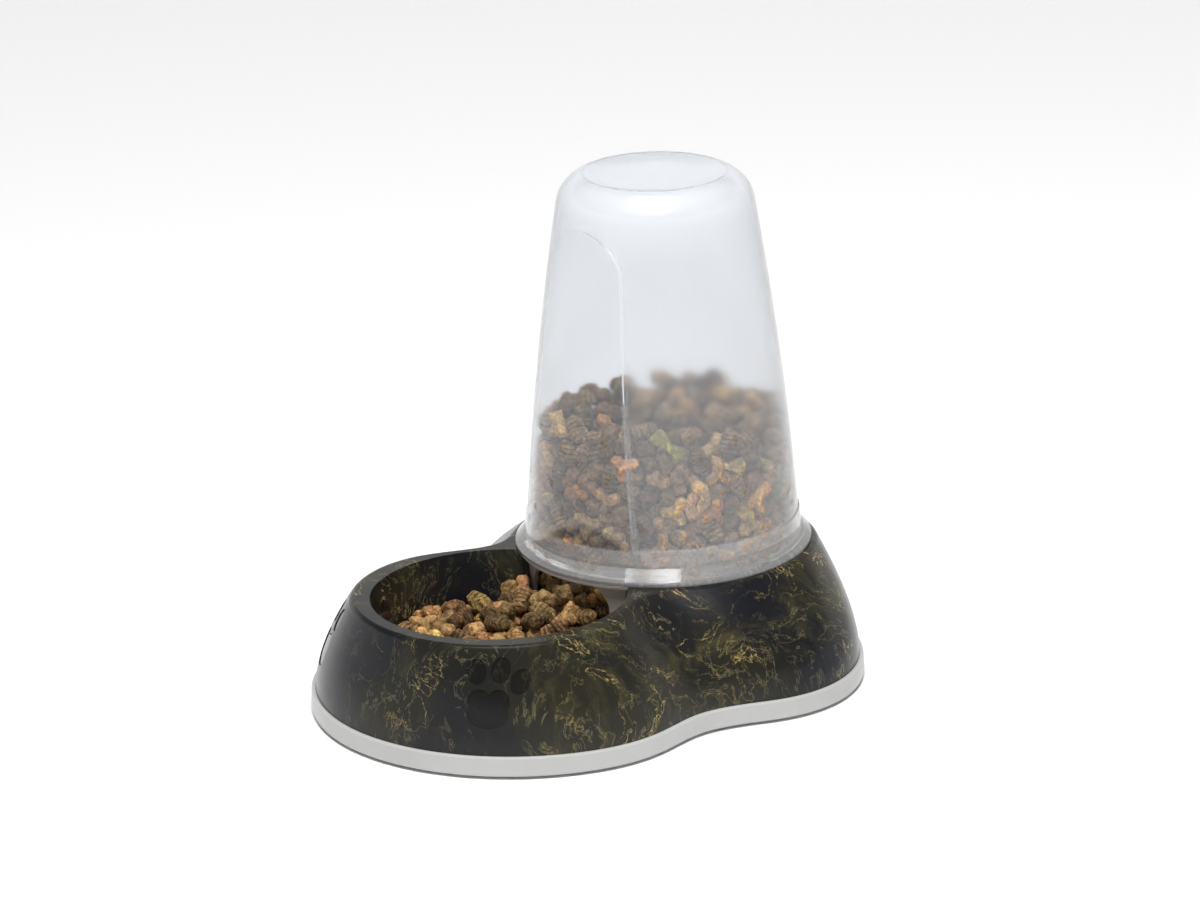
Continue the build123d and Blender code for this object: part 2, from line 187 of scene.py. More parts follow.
def add_lamp(name, kind, place, towards, energy, mirrored=True):
    """A lamp of a kind at a place, shining a way; not mirrored: it only lights, without a highlight."""
    data = bpy.data.lights.new(name, kind)
    data.energy = energy
    lamp = bpy.data.objects.new(name, data)
    lamp.location = place
    lamp.rotation_euler = Vector(towards).to_track_quat("-Z", "Y").to_euler()
    lamp.visible_glossy = mirrored
    bpy.context.scene.collection.objects.link(lamp)
    return lamp


KEY_PLACE = Vector((0.50, -0.36, 1.35))
KEY_AIM = Vector((0.0, 0.03, 0.08))
SHINE_PLACE = Vector((0.432, -0.559, 1.220))
SHINE_AIM = Vector((0.046, 0.008, 0.062))


def add_lamps():
    """A soft key from the front and above, its reflection in the hopper, and light from overhead."""
    key = add_lamp("key_softbox", "AREA", KEY_PLACE, KEY_AIM - KEY_PLACE, 15.0, mirrored=False)
    key.data.size = 0.5
    shine = add_lamp("hopper_softbox", "AREA", SHINE_PLACE, SHINE_AIM - SHINE_PLACE, 3.2)
    shine.data.shape = "RECTANGLE"
    shine.data.size, shine.data.size_y = 0.82, 0.09
    lit = bpy.data.collections.new("lit_by_hopper_softbox")
    lit.objects.link(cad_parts["hopper"])
    shine.light_linking.receiver_collection = lit
    sun = add_lamp("overhead_sun", "SUN", (0.0, 0.0, 2.0), (-0.10, 0.16, -1.0), 1.35, mirrored=False)
    sun.data.angle = math.radians(28.0)


FLOOR_HALF = 6.0


def add_floor():
    """A plain white floor under the feeder."""
    mesh = bpy.data.meshes.new("floor")
    corners = [(-1, -1), (1, -1), (1, 1), (-1, 1)]
    mesh.from_pydata([(x * FLOOR_HALF, y * FLOOR_HALF, 0.0) for x, y in corners], [], [(0, 1, 2, 3)])
    floor = bpy.data.objects.new("floor", mesh)
    bpy.context.scene.collection.objects.link(floor)
    mat, _, _ = new_material("floor_white", {"Base Color": (0.95, 0.95, 0.95, 1), "Roughness": 0.9})
    mesh.materials.append(mat)


# ------------------------------------------------------------------ materials
def new_material(name, values):
    """A material with one Principled shader and its constant values: material, tree, shader."""
    mat = bpy.data.materials.new(name)
    mat.use_nodes = True
    tree = mat.node_tree
    tree.nodes.clear()
    shader = node(tree, "BsdfPrincipled", values)
    output = node(tree, "OutputMaterial")
    tree.links.new(shader.outputs[0], output.inputs["Surface"])
    return mat, tree, shader


def connect(tree, shader, **sockets):
    """Link sockets to the shader's inputs, named with _ for spaces."""
    for name, socket in sockets.items():
        tree.links.new(socket, shader.inputs[name.replace("_", " ")])


def bump(tree, height, strength, distance):
    """A Bump node's normal."""
    return node(tree, "Bump", {
        "Height": height, "Strength": strength, "Distance": distance,
    }).outputs["Normal"]


def object_place(tree):
    """Position on the piece, in metres."""
    return node(tree, "TexCoord").outputs["Object"]


def noise_value(tree, vector, scale, detail=3.0, roughness=0.5, distortion=0.0, stretch=None):
    """The value of a noise texture, from 0 to 1."""
    if stretch is not None:
        vector = node(tree, "Mapping", {"Vector": vector, "Scale": stretch}).outputs[0]
    return node(tree, "TexNoise", {
        "Vector": vector, "Scale": scale, "Detail": detail,
        "Roughness": roughness, "Distortion": distortion,
    }).outputs[0]


def strands(tree, value, levels, width):
    """Thin lines where a noise value crosses evenly spaced levels, strongest in the middle."""
    wave = maths(tree, "PINGPONG", maths(tree, "MULTIPLY", value, levels), 0.5)
    return remap(tree, wave, 0.0, width, 1.0, 0.0, smooth=True)


def ellipse_mask(tree, place, centre, turn, across, tall, lean):
    """1 inside an ellipse on a plane that faces out of the skirt, and 0 outside."""
    local = node(tree, "Mapping", {
        "Vector": place, "Location": centre, "Rotation": (0.0, 0.0, turn),
    }, vector_type="TEXTURE").outputs[0]
    local = node(tree, "Mapping", {
        "Vector": local, "Rotation": (0.0, lean, 0.0), "Scale": (across / 2, 1e3, tall / 2),
    }, vector_type="TEXTURE").outputs[0]
    far = node(tree, "VectorMath", {0: local}, operation="LENGTH").outputs["Value"]
    return remap(tree, far, 0.94, 1.04, 1.0, 0.0)


def paw_mask(tree, place):
    """1 inside the pads of the two paw prints."""
    x, y, z = node(tree, "SeparateXYZ", {0: place}).outputs
    mirrored = node(tree, "CombineXYZ", {
        0: maths(tree, "ABSOLUTE", x), 1: y, 2: z,
    }).outputs[0]
    outwards = Vector((math.sin(PAW_TURN), -math.cos(PAW_TURN), 0.0))
    sideways = Vector((math.cos(PAW_TURN), math.sin(PAW_TURN), 0.0))
    middle = Vector((0.0, LOW_FRONT_Y, PAW_HEIGHT)) + outwards * LOW_FRONT_R
    mask = None
    for across, up, wide, tall, lean in PAW_PADS:
        centre = middle + sideways * across + Vector((0.0, 0.0, up))
        pad = ellipse_mask(tree, mirrored, centre, PAW_TURN, wide, tall, -math.radians(lean))
        mask = pad if mask is None else maths(tree, "MAXIMUM", mask, pad)
    return mask


SHELL_BLACK = (0.0080, 0.0088, 0.0120)
SHELL_OLIVE = (0.019, 0.018, 0.012)
SHELL_SMOKE = (0.060, 0.053, 0.025)
PAW_BLACK = (0.0050, 0.0052, 0.0058)
FUZZ_OLIVE = (0.150, 0.132, 0.070)
WISP_OLIVE = (0.26, 0.205, 0.068)
VEIN_GOLD = (0.47, 0.35, 0.13)
PAW_SHARE = 0.62             # how much of the paw print's own black shows
PAW_POLISH = 0.08            # how much smoother the paw print is
VEINS_ON_PAW = 0.15          # share of the veins left on the paw print
FRONT_TO_BACK = (-0.11, 0.03)
REAR_RICHNESS = 0.16         # the marbling grows denser towards the hopper
SWIRL_REACH = 0.055          # how far the marbling is dragged out of place, in metres

# field: scale, detail, roughness, distortion, stretch; lines: levels, width; clumps: scale, from, to
FUZZ = {"field": (48.0, 7.0, 0.64, 0.4, (1.0, 1.0, 0.45)), "lines": (8.0, 0.085),
        "clumps": (36.0, 0.38, 0.58)}
WISPS = {"field": (24.0, 8.0, 0.60, 0.5, (1.0, 1.0, 0.55)), "lines": (10.0, 0.045),
         "clumps": (27.0, 0.44, 0.60)}
VEINS = {"field": (21.0, 8.0, 0.60, 0.7, (1.0, 1.0, 0.80)), "lines": (5.0, 0.016),
         "clumps": (50.0, 0.45, 0.56)}


def swirled_place(tree, place):
    """The position dragged about by slow swirls."""
    swirl = node(tree, "TexNoise", {"Vector": place, "Scale": 17.0, "Detail": 3.0}).outputs[1]
    swirl = node(tree, "VectorMath", {0: swirl, 1: (0.5, 0.5, 0.5)}, operation="SUBTRACT").outputs[0]
    return node(tree, "VectorMath", {
        0: swirl, 1: (SWIRL_REACH, SWIRL_REACH, SWIRL_REACH), 2: place,
    }, operation="MULTIPLY_ADD").outputs[0]


def veined_share(tree, place):
    """Where the marbling is dense: in patches, and more towards the back."""
    backwards = node(tree, "SeparateXYZ", {0: place}).outputs["Y"]
    richness = maths(tree, "MULTIPLY", remap(tree, backwards, *FRONT_TO_BACK), REAR_RICHNESS)
    veined = maths(tree, "ADD", noise_value(tree, place, 14.0, detail=2.0), richness)
    return remap(tree, veined, 0.46, 0.64, smooth=True)


def clumped_strands(tree, warped, layer):
    """One layer of strands, gathered in clumps."""
    lines = strands(tree, noise_value(tree, warped, *layer["field"]), *layer["lines"])
    scale, sparse, dense = layer["clumps"]
    clumps = remap(tree, noise_value(tree, warped, scale, 3.0), sparse, dense, smooth=True)
    return maths(tree, "MULTIPLY", lines, clumps)


def marbled_colour(tree, place, paws):
    """Black, with olive clouds, smoke, fuzz, wisps and golden veins laid over it in turn."""
    warped = swirled_place(tree, place)
    veined = veined_share(tree, place)
    cloud = noise_value(tree, warped, 13.0, detail=5.0, roughness=0.62)
    clouded = remap(tree, cloud, 0.38, 0.62)
    clouded = maths(tree, "MULTIPLY", clouded, remap(tree, veined, 0.0, 1.0, 0.4, 1.0))
    colour = mix_colour(tree, clouded, SHELL_BLACK, SHELL_OLIVE)
    haze = noise_value(tree, warped, 40.0, 8.0, 0.70, 0.6, (1.0, 1.0, 0.5))
    smoke = maths(tree, "MULTIPLY", remap(tree, haze, 0.50, 0.76), veined)
    colour = mix_colour(tree, smoke, colour, SHELL_SMOKE)

    fuzz = clumped_strands(tree, warped, FUZZ)
    fuzz = maths(tree, "MULTIPLY", fuzz, remap(tree, veined, 0.0, 1.0, 0.30, 0.70))
    colour = mix_colour(tree, fuzz, colour, FUZZ_OLIVE)
    wisps = maths(tree, "MULTIPLY", clumped_strands(tree, warped, WISPS), veined)
    colour = mix_colour(tree, maths(tree, "MULTIPLY", wisps, 0.60), colour, WISP_OLIVE)
    off_paws = remap(tree, paws, 0.0, 1.0, 1.0, VEINS_ON_PAW)
    veins = maths(tree, "MULTIPLY", clumped_strands(tree, warped, VEINS), off_paws)
    veins = maths(tree, "MULTIPLY", veins, remap(tree, veined, 0.0, 1.0, 0.30, 1.0))
    colour = mix_colour(tree, veins, colour, VEIN_GOLD)
    return mix_colour(tree, maths(tree, "MULTIPLY", paws, PAW_SHARE), colour, PAW_BLACK)


def marbled_shell():
    """Near-black marbled plastic, moulded satin smooth, with smoother paw prints."""
    mat, tree, shader = new_material("marbled_shell", {"Specular IOR Level": 0.26})
    place = object_place(tree)
    paws = paw_mask(tree, place)
    grain = noise_value(tree, place, 700.0, 2.0)
    roughness = remap(tree, grain, 0.3, 0.7, 0.21, 0.26)
    roughness = maths(tree, "SUBTRACT", roughness, maths(tree, "MULTIPLY", paws, PAW_POLISH))
    ripple = noise_value(tree, place, 45.0, 2.0)
    connect(
        tree, shader,
        Base_Color=marbled_colour(tree, place, paws),
        Roughness=roughness,
        Normal=bump(tree, ripple, 0.06, 0.0006),
    )
    return mat


PALE_GREY = (0.455, 0.455, 0.447)
PALE_GREY_DARK = (0.42, 0.42, 0.412)
# the throat's pale grey plastic, painted darker and warmer: painted shade and a painted warm bounce
# from the food
THROAT_GREY_PAINTED_SHADE = (0.37, 0.345, 0.32)
THROAT_GREY_PAINTED_SHADE_DARK = (0.33, 0.305, 0.28)
RUBBER = (0.045, 0.045, 0.048)
RUBBER_DARK = (0.03, 0.03, 0.032)


def moulded_plastic(name, colour, darker, roughness):
    """Satin moulded plastic or rubber with a fine grain and slight changes of tone."""
    mat, tree, shader = new_material(name, {"Specular IOR Level": 0.5})
    place = object_place(tree)
    tone = noise_value(tree, place, 24.0, 4.0, 0.6)
    grain = noise_value(tree, place, 1400.0, 2.0)
    connect(
        tree, shader,
        Base_Color=mix_colour(tree, remap(tree, tone, 0.3, 0.7), darker, colour),
        Roughness=remap(tree, grain, 0.3, 0.7, roughness - 0.05, roughness + 0.05),
        Normal=bump(tree, grain, 0.10, 0.0001),
    )
    return mat


HAIR = 0.0001                # softening of the edge of a mask, in metres
WINDOW_FRONT = 0.010         # the window's mask starts this far in front of the hopper's axis
LINE = (0.0002, 0.0006)      # the painted highlight lines on the steps' edges: full up to the first distance, gone at the second
FOOT_HIGHLIGHT_RISE = 0.0004
CROWN_FADE = (0.205, 0.237)
FROST_CLEAR = 0.93
CROWN_CLEAR = 0.80
WINDOW_CLEAR = 0.955
BAND_CLEAR = 0.80
# milkiness added along the steps' edges: a painted highlight
EDGE_HIGHLIGHT_MILK = 0.13
FROST_ROUGHNESS = (0.14, 0.18)
WINDOW_ROUGHNESS = 0.03
BAND_ROUGHNESS = 0.05
MILK = ((0.870, 0.885, 0.910), (0.885, 0.898, 0.918))
BAND_MILK = (0.800, 0.795, 0.785)
SHADOW_TINT = (0.40, 0.42, 0.45, 1.0)


def window_depth(tree, place):
    """How far inside the window's outline a point is, in metres: negative outside it."""
    x, y, z = node(tree, "SeparateXYZ", {0: place}).outputs
    aside = maths(tree, "ABSOLUTE", x)
    slope = (WINDOW_HEAD_R - WINDOW_FOOT_HALF) / (WINDOW_HEAD_Z - PANEL_LOW)
    edge = maths(tree, "MULTIPLY", z, slope)
    edge = maths(tree, "ADD", edge, WINDOW_FOOT_HALF - slope * PANEL_LOW)
    beside = maths(tree, "SUBTRACT", edge, aside)
    rise = maths(tree, "MAXIMUM", maths(tree, "SUBTRACT", z, WINDOW_HEAD_Z), 0.0)
    square = maths(tree, "MULTIPLY", aside, aside)
    square = maths(tree, "ADD", square, maths(tree, "MULTIPLY", rise, rise))
    reach = maths(tree, "POWER", square, 0.5)
    arch = maths(tree, "SUBTRACT", WINDOW_HEAD_R, reach)
    over_head = remap(tree, rise, 0.0, HAIR)
    below_head = maths(tree, "SUBTRACT", 1.0, over_head)
    inside = maths(
        tree, "ADD",
        maths(tree, "MULTIPLY", arch, over_head),
        maths(tree, "MULTIPLY", beside, below_head),
    )
    front_y = HOPPER_Y - WINDOW_FRONT
    front = remap(tree, y, front_y - HAIR, front_y + HAIR, 1.0, -1.0)
    return maths(tree, "MINIMUM", inside, maths(tree, "MULTIPLY", front, 0.1))


def hopper_zones(tree, place, height):
    """Masks on the hopper: its polished window, its foot band, and painted highlight lines along their
    edges.
    """
    depth = window_depth(tree, place)
    window = remap(tree, depth, -HAIR, HAIR)
    band = remap(tree, height, PANEL_LOW - HAIR, PANEL_LOW + HAIR, 1.0, 0.0)
    # painted highlight: a milkier line along the window's moulded step
    outline = remap(tree, maths(tree, "ABSOLUTE", depth), *LINE, 1.0, 0.0)
    outline = maths(tree, "MULTIPLY", outline, maths(tree, "SUBTRACT", 1.0, band))
    # painted highlight: a milkier line along the step at the top of the foot band
    above_foot = maths(tree, "SUBTRACT", height, PANEL_LOW + FOOT_HIGHLIGHT_RISE)
    foot_highlight = remap(tree, maths(tree, "ABSOLUTE", above_foot), *LINE, 1.0, 0.0)
    foot_highlight = maths(tree, "MULTIPLY", foot_highlight, maths(tree, "SUBTRACT", 1.0, window))
    return window, band, maths(tree, "MAXIMUM", outline, foot_highlight)


def frosted_hopper():
    """Milky polypropylene: satin frosted, with a polished window, a painted highlight line round it and
    a foot band.
    """
    mat, tree, shader = new_material("frosted_hopper", {"IOR": 1.45, "Specular IOR Level": 0.5})
    place = object_place(tree)
    height = node(tree, "SeparateXYZ", {0: place}).outputs["Z"]
    window, band, outline = hopper_zones(tree, place, height)
    speckle = noise_value(tree, place, 1800.0, 2.0)
    satin = remap(tree, speckle, 0.3, 0.7, *FROST_ROUGHNESS)
    roughness = remap(tree, window, 0.0, 1.0, satin, WINDOW_ROUGHNESS)
    roughness = remap(tree, band, 0.0, 1.0, roughness, BAND_ROUGHNESS)
    clearness = remap(tree, height, *CROWN_FADE, FROST_CLEAR, CROWN_CLEAR, smooth=True)
    clearness = remap(tree, window, 0.0, 1.0, clearness, WINDOW_CLEAR)
    clearness = remap(tree, band, 0.0, 1.0, clearness, BAND_CLEAR)
    # the painted highlight lines, made milkier than the wall round them
    clearness = maths(tree, "SUBTRACT", clearness, maths(tree, "MULTIPLY", outline, EDGE_HIGHLIGHT_MILK))
    milk = mix_colour(tree, noise_value(tree, place, 30.0), *MILK)
    milk = mix_colour(tree, band, milk, BAND_MILK)
    connect(tree, shader, Base_Color=milk, Normal=bump(tree, speckle, 0.12, 0.0001),
            Roughness=roughness, Transmission_Weight=clearness)
    clear_in_shadow(tree, shader)
    return mat


def clear_in_shadow(tree, shader):
    """Let light through to the food: on shadow rays the plastic is a clear tint."""
    path = node(tree, "LightPath").outputs["Is Shadow Ray"]
    clear = node(tree, "BsdfTransparent", {"Color": SHADOW_TINT})
    both = node(tree, "MixShader", {0: path, 1: shader.outputs[0], 2: clear.outputs[0]})
    output = next(n for n in tree.nodes if n.type == "OUTPUT_MATERIAL")
    tree.links.new(both.outputs[0], output.inputs["Surface"])


def kibble_crumb():
    """Baked dry food: its own colour and mottle, with painted shade in the pits, the low spots and the
    grooves round the rods.
    """
    mat, tree, shader = new_material("kibble", {"Specular IOR Level": 0.40})
    place = object_place(tree)
    # tint: each piece's colour with its painted crevice shade
    held = node(tree, "Attribute", attribute_name="tint").outputs
    along = node(tree, "Attribute", attribute_name="along").outputs["Fac"]
    wobble = maths(tree, "MULTIPLY", noise_value(tree, place, 260.0, 2.0), 0.6)
    turns = maths(tree, "MULTIPLY", maths(tree, "ADD", along, wobble), 2.0 * math.pi)
    groove = remap(tree, maths(tree, "COSINE", turns), -0.2, 1.0, smooth=True)
    groove = maths(tree, "MULTIPLY", groove, held["Alpha"])
    mottle = noise_value(tree, place, 560.0, 4.0, 0.70)
    pits = node(tree, "TexVoronoi", {"Vector": place, "Scale": 800.0}).outputs["Distance"]
    pits = remap(tree, pits, 0.10, 0.65)
    # the food's own mottle, partly painted shade: the colour darkens where the bump's height falls, on
    # low spots, pits and grooves
    shade = remap(tree, mottle, 0.32, 0.68, 0.50, 1.40)
    shade = maths(tree, "MULTIPLY", shade, remap(tree, pits, 0.0, 1.0, 1.15, 0.75))
    shade = maths(tree, "MULTIPLY", shade, remap(tree, groove, 0.0, 1.0, 1.10, 0.60))
    colour = node(tree, "VectorMath", {0: held["Color"], "Scale": shade}, operation="SCALE").outputs[0]
    height = maths(tree, "MULTIPLY", mottle, 1.4)
    height = maths(tree, "SUBTRACT", height, maths(tree, "MULTIPLY", pits, 0.35))
    height = maths(tree, "SUBTRACT", height, maths(tree, "MULTIPLY", groove, 0.40))
    connect(
        tree, shader,
        Base_Color=colour,
        Roughness=remap(tree, mottle, 0.3, 0.7, 0.50, 0.75),
        Normal=bump(tree, height, 1.0, 0.0010),
    )
    return mat


def paint(name, material):
    """Give a CAD node its material."""
    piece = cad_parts[name]
    if not piece.material_slots:
        piece.data.materials.append(material)
    for held in piece.material_slots:
        held.link = "OBJECT"
        held.material = material


# ------------------------------------------------------------------ the food's shapes
BALL = 0.0038
CUT_THICK = 0.0030
BLEND = 0.0009
FARTHEST = 0.016
MARCHES = 48                 # steps inwards from FARTHEST, each 0.8 of the distance left
MARCH_SHARE = 0.8
EDGE_SHARE = 0.55            # rounding of a cut piece's edge, as a share of its half thickness
LUMP_HEIGHT = 0.0011
LUMP_SCALES = (240.0, 520.0)
FINE_LUMPS = 0.7
# painted crevice shade: the food's colour paled on its lumps and darkened in its hollows, by their
# relief
CREVICE_SHADE_RELIEF = 0.0014
CREVICE_SHADE_RANGE = (0.35, 1.5)


def ring_of(count, reach, radius, start=90.0):
    """Balls evenly round a circle."""
    turns = [math.radians(start + 360.0 * i / count) for i in range(count)]
    return [(reach * math.cos(a), reach * math.sin(a), 0.0, radius) for a in turns]


def arc_of(count, reach, radius, sweep):
    """Balls along an arc, for a crescent."""
    turns = [math.radians(sweep * (i / (count - 1) - 0.5)) for i in range(count)]
    return [(reach * math.cos(a), reach * math.sin(a), 0.0, radius) for a in turns]


# balls: places and radii; flat: cut from a sheet; rings: spacing of grooves; share of all pieces
KINDS = {
    "round": {"balls": [(0.0, 0.0, 0.0, 0.0044)], "flat": False, "rings": 0.0, "share": 0.22,
              "tints": ["brown", "brown", "dark"]},
    "nugget": {"balls": [(-0.0017, 0.0, 0.0, BALL), (0.0017, 0.0, 0.0, BALL)], "flat": False,
               "rings": 0.0, "share": 0.22, "tints": ["brown", "dark", "brown", "light"]},
    "rod": {"balls": [(-0.0036, 0.0, 0.0, BALL), (0.0, 0.0, 0.0, BALL), (0.0036, 0.0, 0.0, BALL)],
            "flat": False, "rings": 0.0023, "share": 0.29, "tints": ["brown", "dark", "light"]},
    "trefoil": {"balls": [(0.0, 0.0, 0.0, 0.0028), *ring_of(3, 0.0049, 0.0026)], "flat": True,
                "rings": 0.0, "share": 0.19, "tints": ["tan", "rust", "tan", "orange", "rust"]},
    "bone": {"balls": [(-0.0068, 0.0020, 0.0, 0.0024), (-0.0068, -0.0020, 0.0, 0.0024),
                       (-0.0026, 0.0, 0.0, 0.0024), (0.0026, 0.0, 0.0, 0.0024),
                       (0.0068, 0.0020, 0.0, 0.0024), (0.0068, -0.0020, 0.0, 0.0024)],
             "flat": True, "rings": 0.0, "share": 0.06, "tints": ["gold", "green", "tan", "light"]},
    "crescent": {"balls": arc_of(4, 0.0054, 0.0028, 130.0), "flat": True, "rings": 0.0,
                 "share": 0.04, "tints": ["orange", "tan", "gold"]},
}
TINTS = {
    "brown": (0.265, 0.158, 0.066),
    "dark": (0.165, 0.098, 0.043),
    "light": (0.400, 0.245, 0.098),
    "tan": (0.520, 0.320, 0.125),
    "gold": (0.600, 0.395, 0.125),
    "orange": (0.500, 0.225, 0.075),
    "rust": (0.470, 0.260, 0.115),
    "green": (0.290, 0.270, 0.075),
}


def centred_balls(kind):
    """A kind's balls with their middle at the origin: places, radii."""
    balls = np.array(KINDS[kind]["balls"])
    return balls[:, :3] - balls[:, :3].mean(0), balls[:, 3]


def distance_to(kind, points):
    """Distance from points to the smooth skin round a kind's balls, negative inside."""
    places, radii = centred_balls(kind)
    flat = KINDS[kind]["flat"]
    used = 2 if flat else 3
    gaps = np.linalg.norm(points[:, None, :used] - places[None, :, :used], axis=2) - radii
    skin = -BLEND * np.log(np.exp(-gaps / BLEND).sum(1))
    if not flat:
        return skin
    edge = CUT_THICK * EDGE_SHARE
    beside = skin + edge
    above = np.abs(points[:, 2]) - CUT_THICK + edge
    outside = np.hypot(np.maximum(beside, 0.0), np.maximum(above, 0.0))
    return outside + np.minimum(np.maximum(beside, above), 0.0) - edge


def unit_sphere(level):
    """Points and triangles of a subdivided icosahedron."""
    ball = bmesh.new()
    bmesh.ops.create_icosphere(ball, subdivisions=level, radius=1.0)
    points = np.array([v.co[:] for v in ball.verts])
    triangles = np.array([[v.index for v in f.verts] for f in ball.faces])
    ball.free()
    return points, triangles


def kibble_points(kind, variant, ways):
    """Points of one lumpy piece, and painted shade for each point: paler on the lumps, darker in the
    crevices.
    """
    reach = np.full(len(ways), FARTHEST)
    for _ in range(MARCHES):
        reach -= MARCH_SHARE * distance_to(kind, ways * reach[:, None])
    points = ways * reach[:, None]
    coarse, fine = LUMP_SCALES
    lumps = np.array([
        noise.noise(Vector(p * coarse + variant * 7.3))
        + FINE_LUMPS * noise.noise(Vector(p * fine - variant))
        for p in points
    ])
    relief = lumps * LUMP_HEIGHT
    # painted shade from the relief: paler on the lumps, darker in the crevices
    painted_crevice_shade = np.clip(1.0 + relief / CREVICE_SHADE_RELIEF, *CREVICE_SHADE_RANGE)
    return points * (1.0 + relief / np.maximum(reach, 0.003))[:, None], painted_crevice_shade


# ------------------------------------------------------------------ the food coming to rest
STEPS = 190
HOPPER_STRIDE = 0.0006       # how far a piece sinks in the first step
BOWL_STRIDE = 0.0009
SINK_SHARE = 0.5             # the sinking fades out over this share of the steps
SINK_REST = 0.02             # and then goes on at this share of the stride
PAIR_REACH = 0.003
PAIRS_EVERY = 6
PUSHES = 3
PUSH_GAIN = 1.3
TURN_MEMORY = 3e-6           # holds a lone ball's turn, which its places cannot
TINY = 1e-9


def wall_radius(height):
    """Outer radius of the hopper's frosted wall."""
    share = (height - FLANGE_MID) / (HOPPER_TOP - FLANGE_MID)
    swell = HOPPER_BULGE * 4 * share * (1 - share)
    return HOPPER_FOOT_R + (HOPPER_HEAD_R - HOPPER_FOOT_R) * share + swell


def push_inside(points, radii, axis_y, limit):
    """Points moved so that their balls stay within a distance of a vertical axis."""
    beside = points[:, :2] - (0.0, axis_y)
    far = np.linalg.norm(beside, axis=1)
    scale = np.minimum(1.0, (limit - radii) / np.maximum(far, TINY))
    points[:, :2] = beside * scale[:, None] + (0.0, axis_y)
    return points


def push_outside(points, radii, axis_y, limit, top=1.0):
    """Points moved so that their balls stay out of a round-headed post."""
    foot = np.zeros_like(points)
    foot[:, 1] = axis_y
    foot[:, 2] = np.minimum(points[:, 2], top)
    away = points - foot
    far = np.linalg.norm(away, axis=1)
    scale = np.maximum(1.0, (limit + radii) / np.maximum(far, TINY))
    return foot + away * scale[:, None]


FOOD_CLEARANCE = 0.0002
NECK_CLEARANCE = 0.0046      # the throat's wall, the spigot and a little room
FILL_TOP = 0.150             # the wall counts as straight above this
CORE_R = 0.040               # the hidden middle of the heap is left empty
CORE_TOP = 0.070
HEAP_EDGE = 0.044            # above this the food in the mouth leans back at HEAP_SLOPE
HEAP_SLOPE = math.radians(38.0)


def keep_in_hopper(points, radii):
    """Hold balls inside the hopper and the throat, above the chute and behind the heap's slope."""
    height = points[:, 2]
    limit = wall_radius(np.clip(height, SHELL_TOP, FILL_TOP)) - HOPPER_WALL - FOOD_CLEARANCE
    limit = np.where(height < SHELL_TOP + 0.004, NECK_R - NECK_CLEARANCE, limit)
    points = push_inside(points, radii, HOPPER_Y, limit)
    back_y, back_z = CHUTE_BACK
    front_y, front_z = CHUTE_FRONT
    slope = (back_z - front_z) / (back_y - front_y)
    floor = front_z + slope * np.maximum(0.0, points[:, 1] - HOPPER_Y - front_y)
    points[:, 2] = np.maximum(points[:, 2], floor + radii * math.hypot(1.0, slope))
    rise = np.tan(HEAP_SLOPE)
    sloped_floor = HOPPER_Y - NECK_R + (points[:, 2] - HEAP_EDGE) / rise
    sloped_floor = sloped_floor + radii / math.sin(HEAP_SLOPE)
    in_mouth = (points[:, 2] > HEAP_EDGE) & (points[:, 2] < SHELL_TOP)
    points[:, 1] = np.where(in_mouth, np.maximum(points[:, 1], sloped_floor), points[:, 1])
    return push_outside(points, radii, HOPPER_Y, CORE_R, CORE_TOP)


BOWL_BED = BOWL_FLOOR + 0.0004
BESIDE_NECK = 0.0008


def keep_in_bowl(points, radii):
    """Hold balls inside the bowl, in front of the neck and above the bowl's floor."""
    height = np.clip(points[:, 2], BOWL_FLOOR, SHELL_TOP)
    share = (height - BOWL_FLOOR) / (SHELL_TOP + 0.001 - BOWL_FLOOR)
    limit = BOWL_FLOOR_R + (BOWL_RIM_R - BOWL_FLOOR_R) * share - FOOD_CLEARANCE
    points = push_inside(points, radii, BOWL_Y, limit)
    points = push_outside(points, radii, HOPPER_Y, NECK_R + BESIDE_NECK)
    points[:, 2] = np.maximum(points[:, 2], BOWL_BED + radii)
    return points


def random_turns(rng, count):
    """Evenly spread random rotation matrices."""
    q, r = np.linalg.qr(rng.normal(size=(count, 3, 3)))
    q *= np.sign(np.einsum("nii->ni", r))[:, None, :]
    q[:, :, 2] *= np.linalg.det(q)[:, None]
    return q


def near_pairs(points, radii, owner):
    """Pairs of balls of different pieces that are close enough to touch soon."""
    square = (points**2).sum(1)
    gap = square[:, None] + square[None, :] - 2.0 * points @ points.T
    reach = radii[:, None] + radii[None, :] + PAIR_REACH
    first, second = np.nonzero(np.triu(gap < reach**2, 1))
    other = owner[first] != owner[second]
    return first[other], second[other]


def push_apart(points, radii, pairs):
    """Balls that overlap pushed away from each other, the less the more neighbours they touch."""
    first, second = pairs
    apart = points[second] - points[first]
    far = np.maximum(np.linalg.norm(apart, axis=1), TINY)
    overlap = np.maximum(radii[first] + radii[second] - far, 0.0)
    push = apart * (overlap / far / 2)[:, None]
    touching = (overlap > 0).astype(float)
    total = np.bincount(first, touching, len(points)) + np.bincount(second, touching, len(points))
    total = np.maximum(total, 1.0)
    for side in range(3):
        moved = np.bincount(second, push[:, side], len(points))
        moved -= np.bincount(first, push[:, side], len(points))
        points[:, side] += PUSH_GAIN * moved / total**0.5
    return points


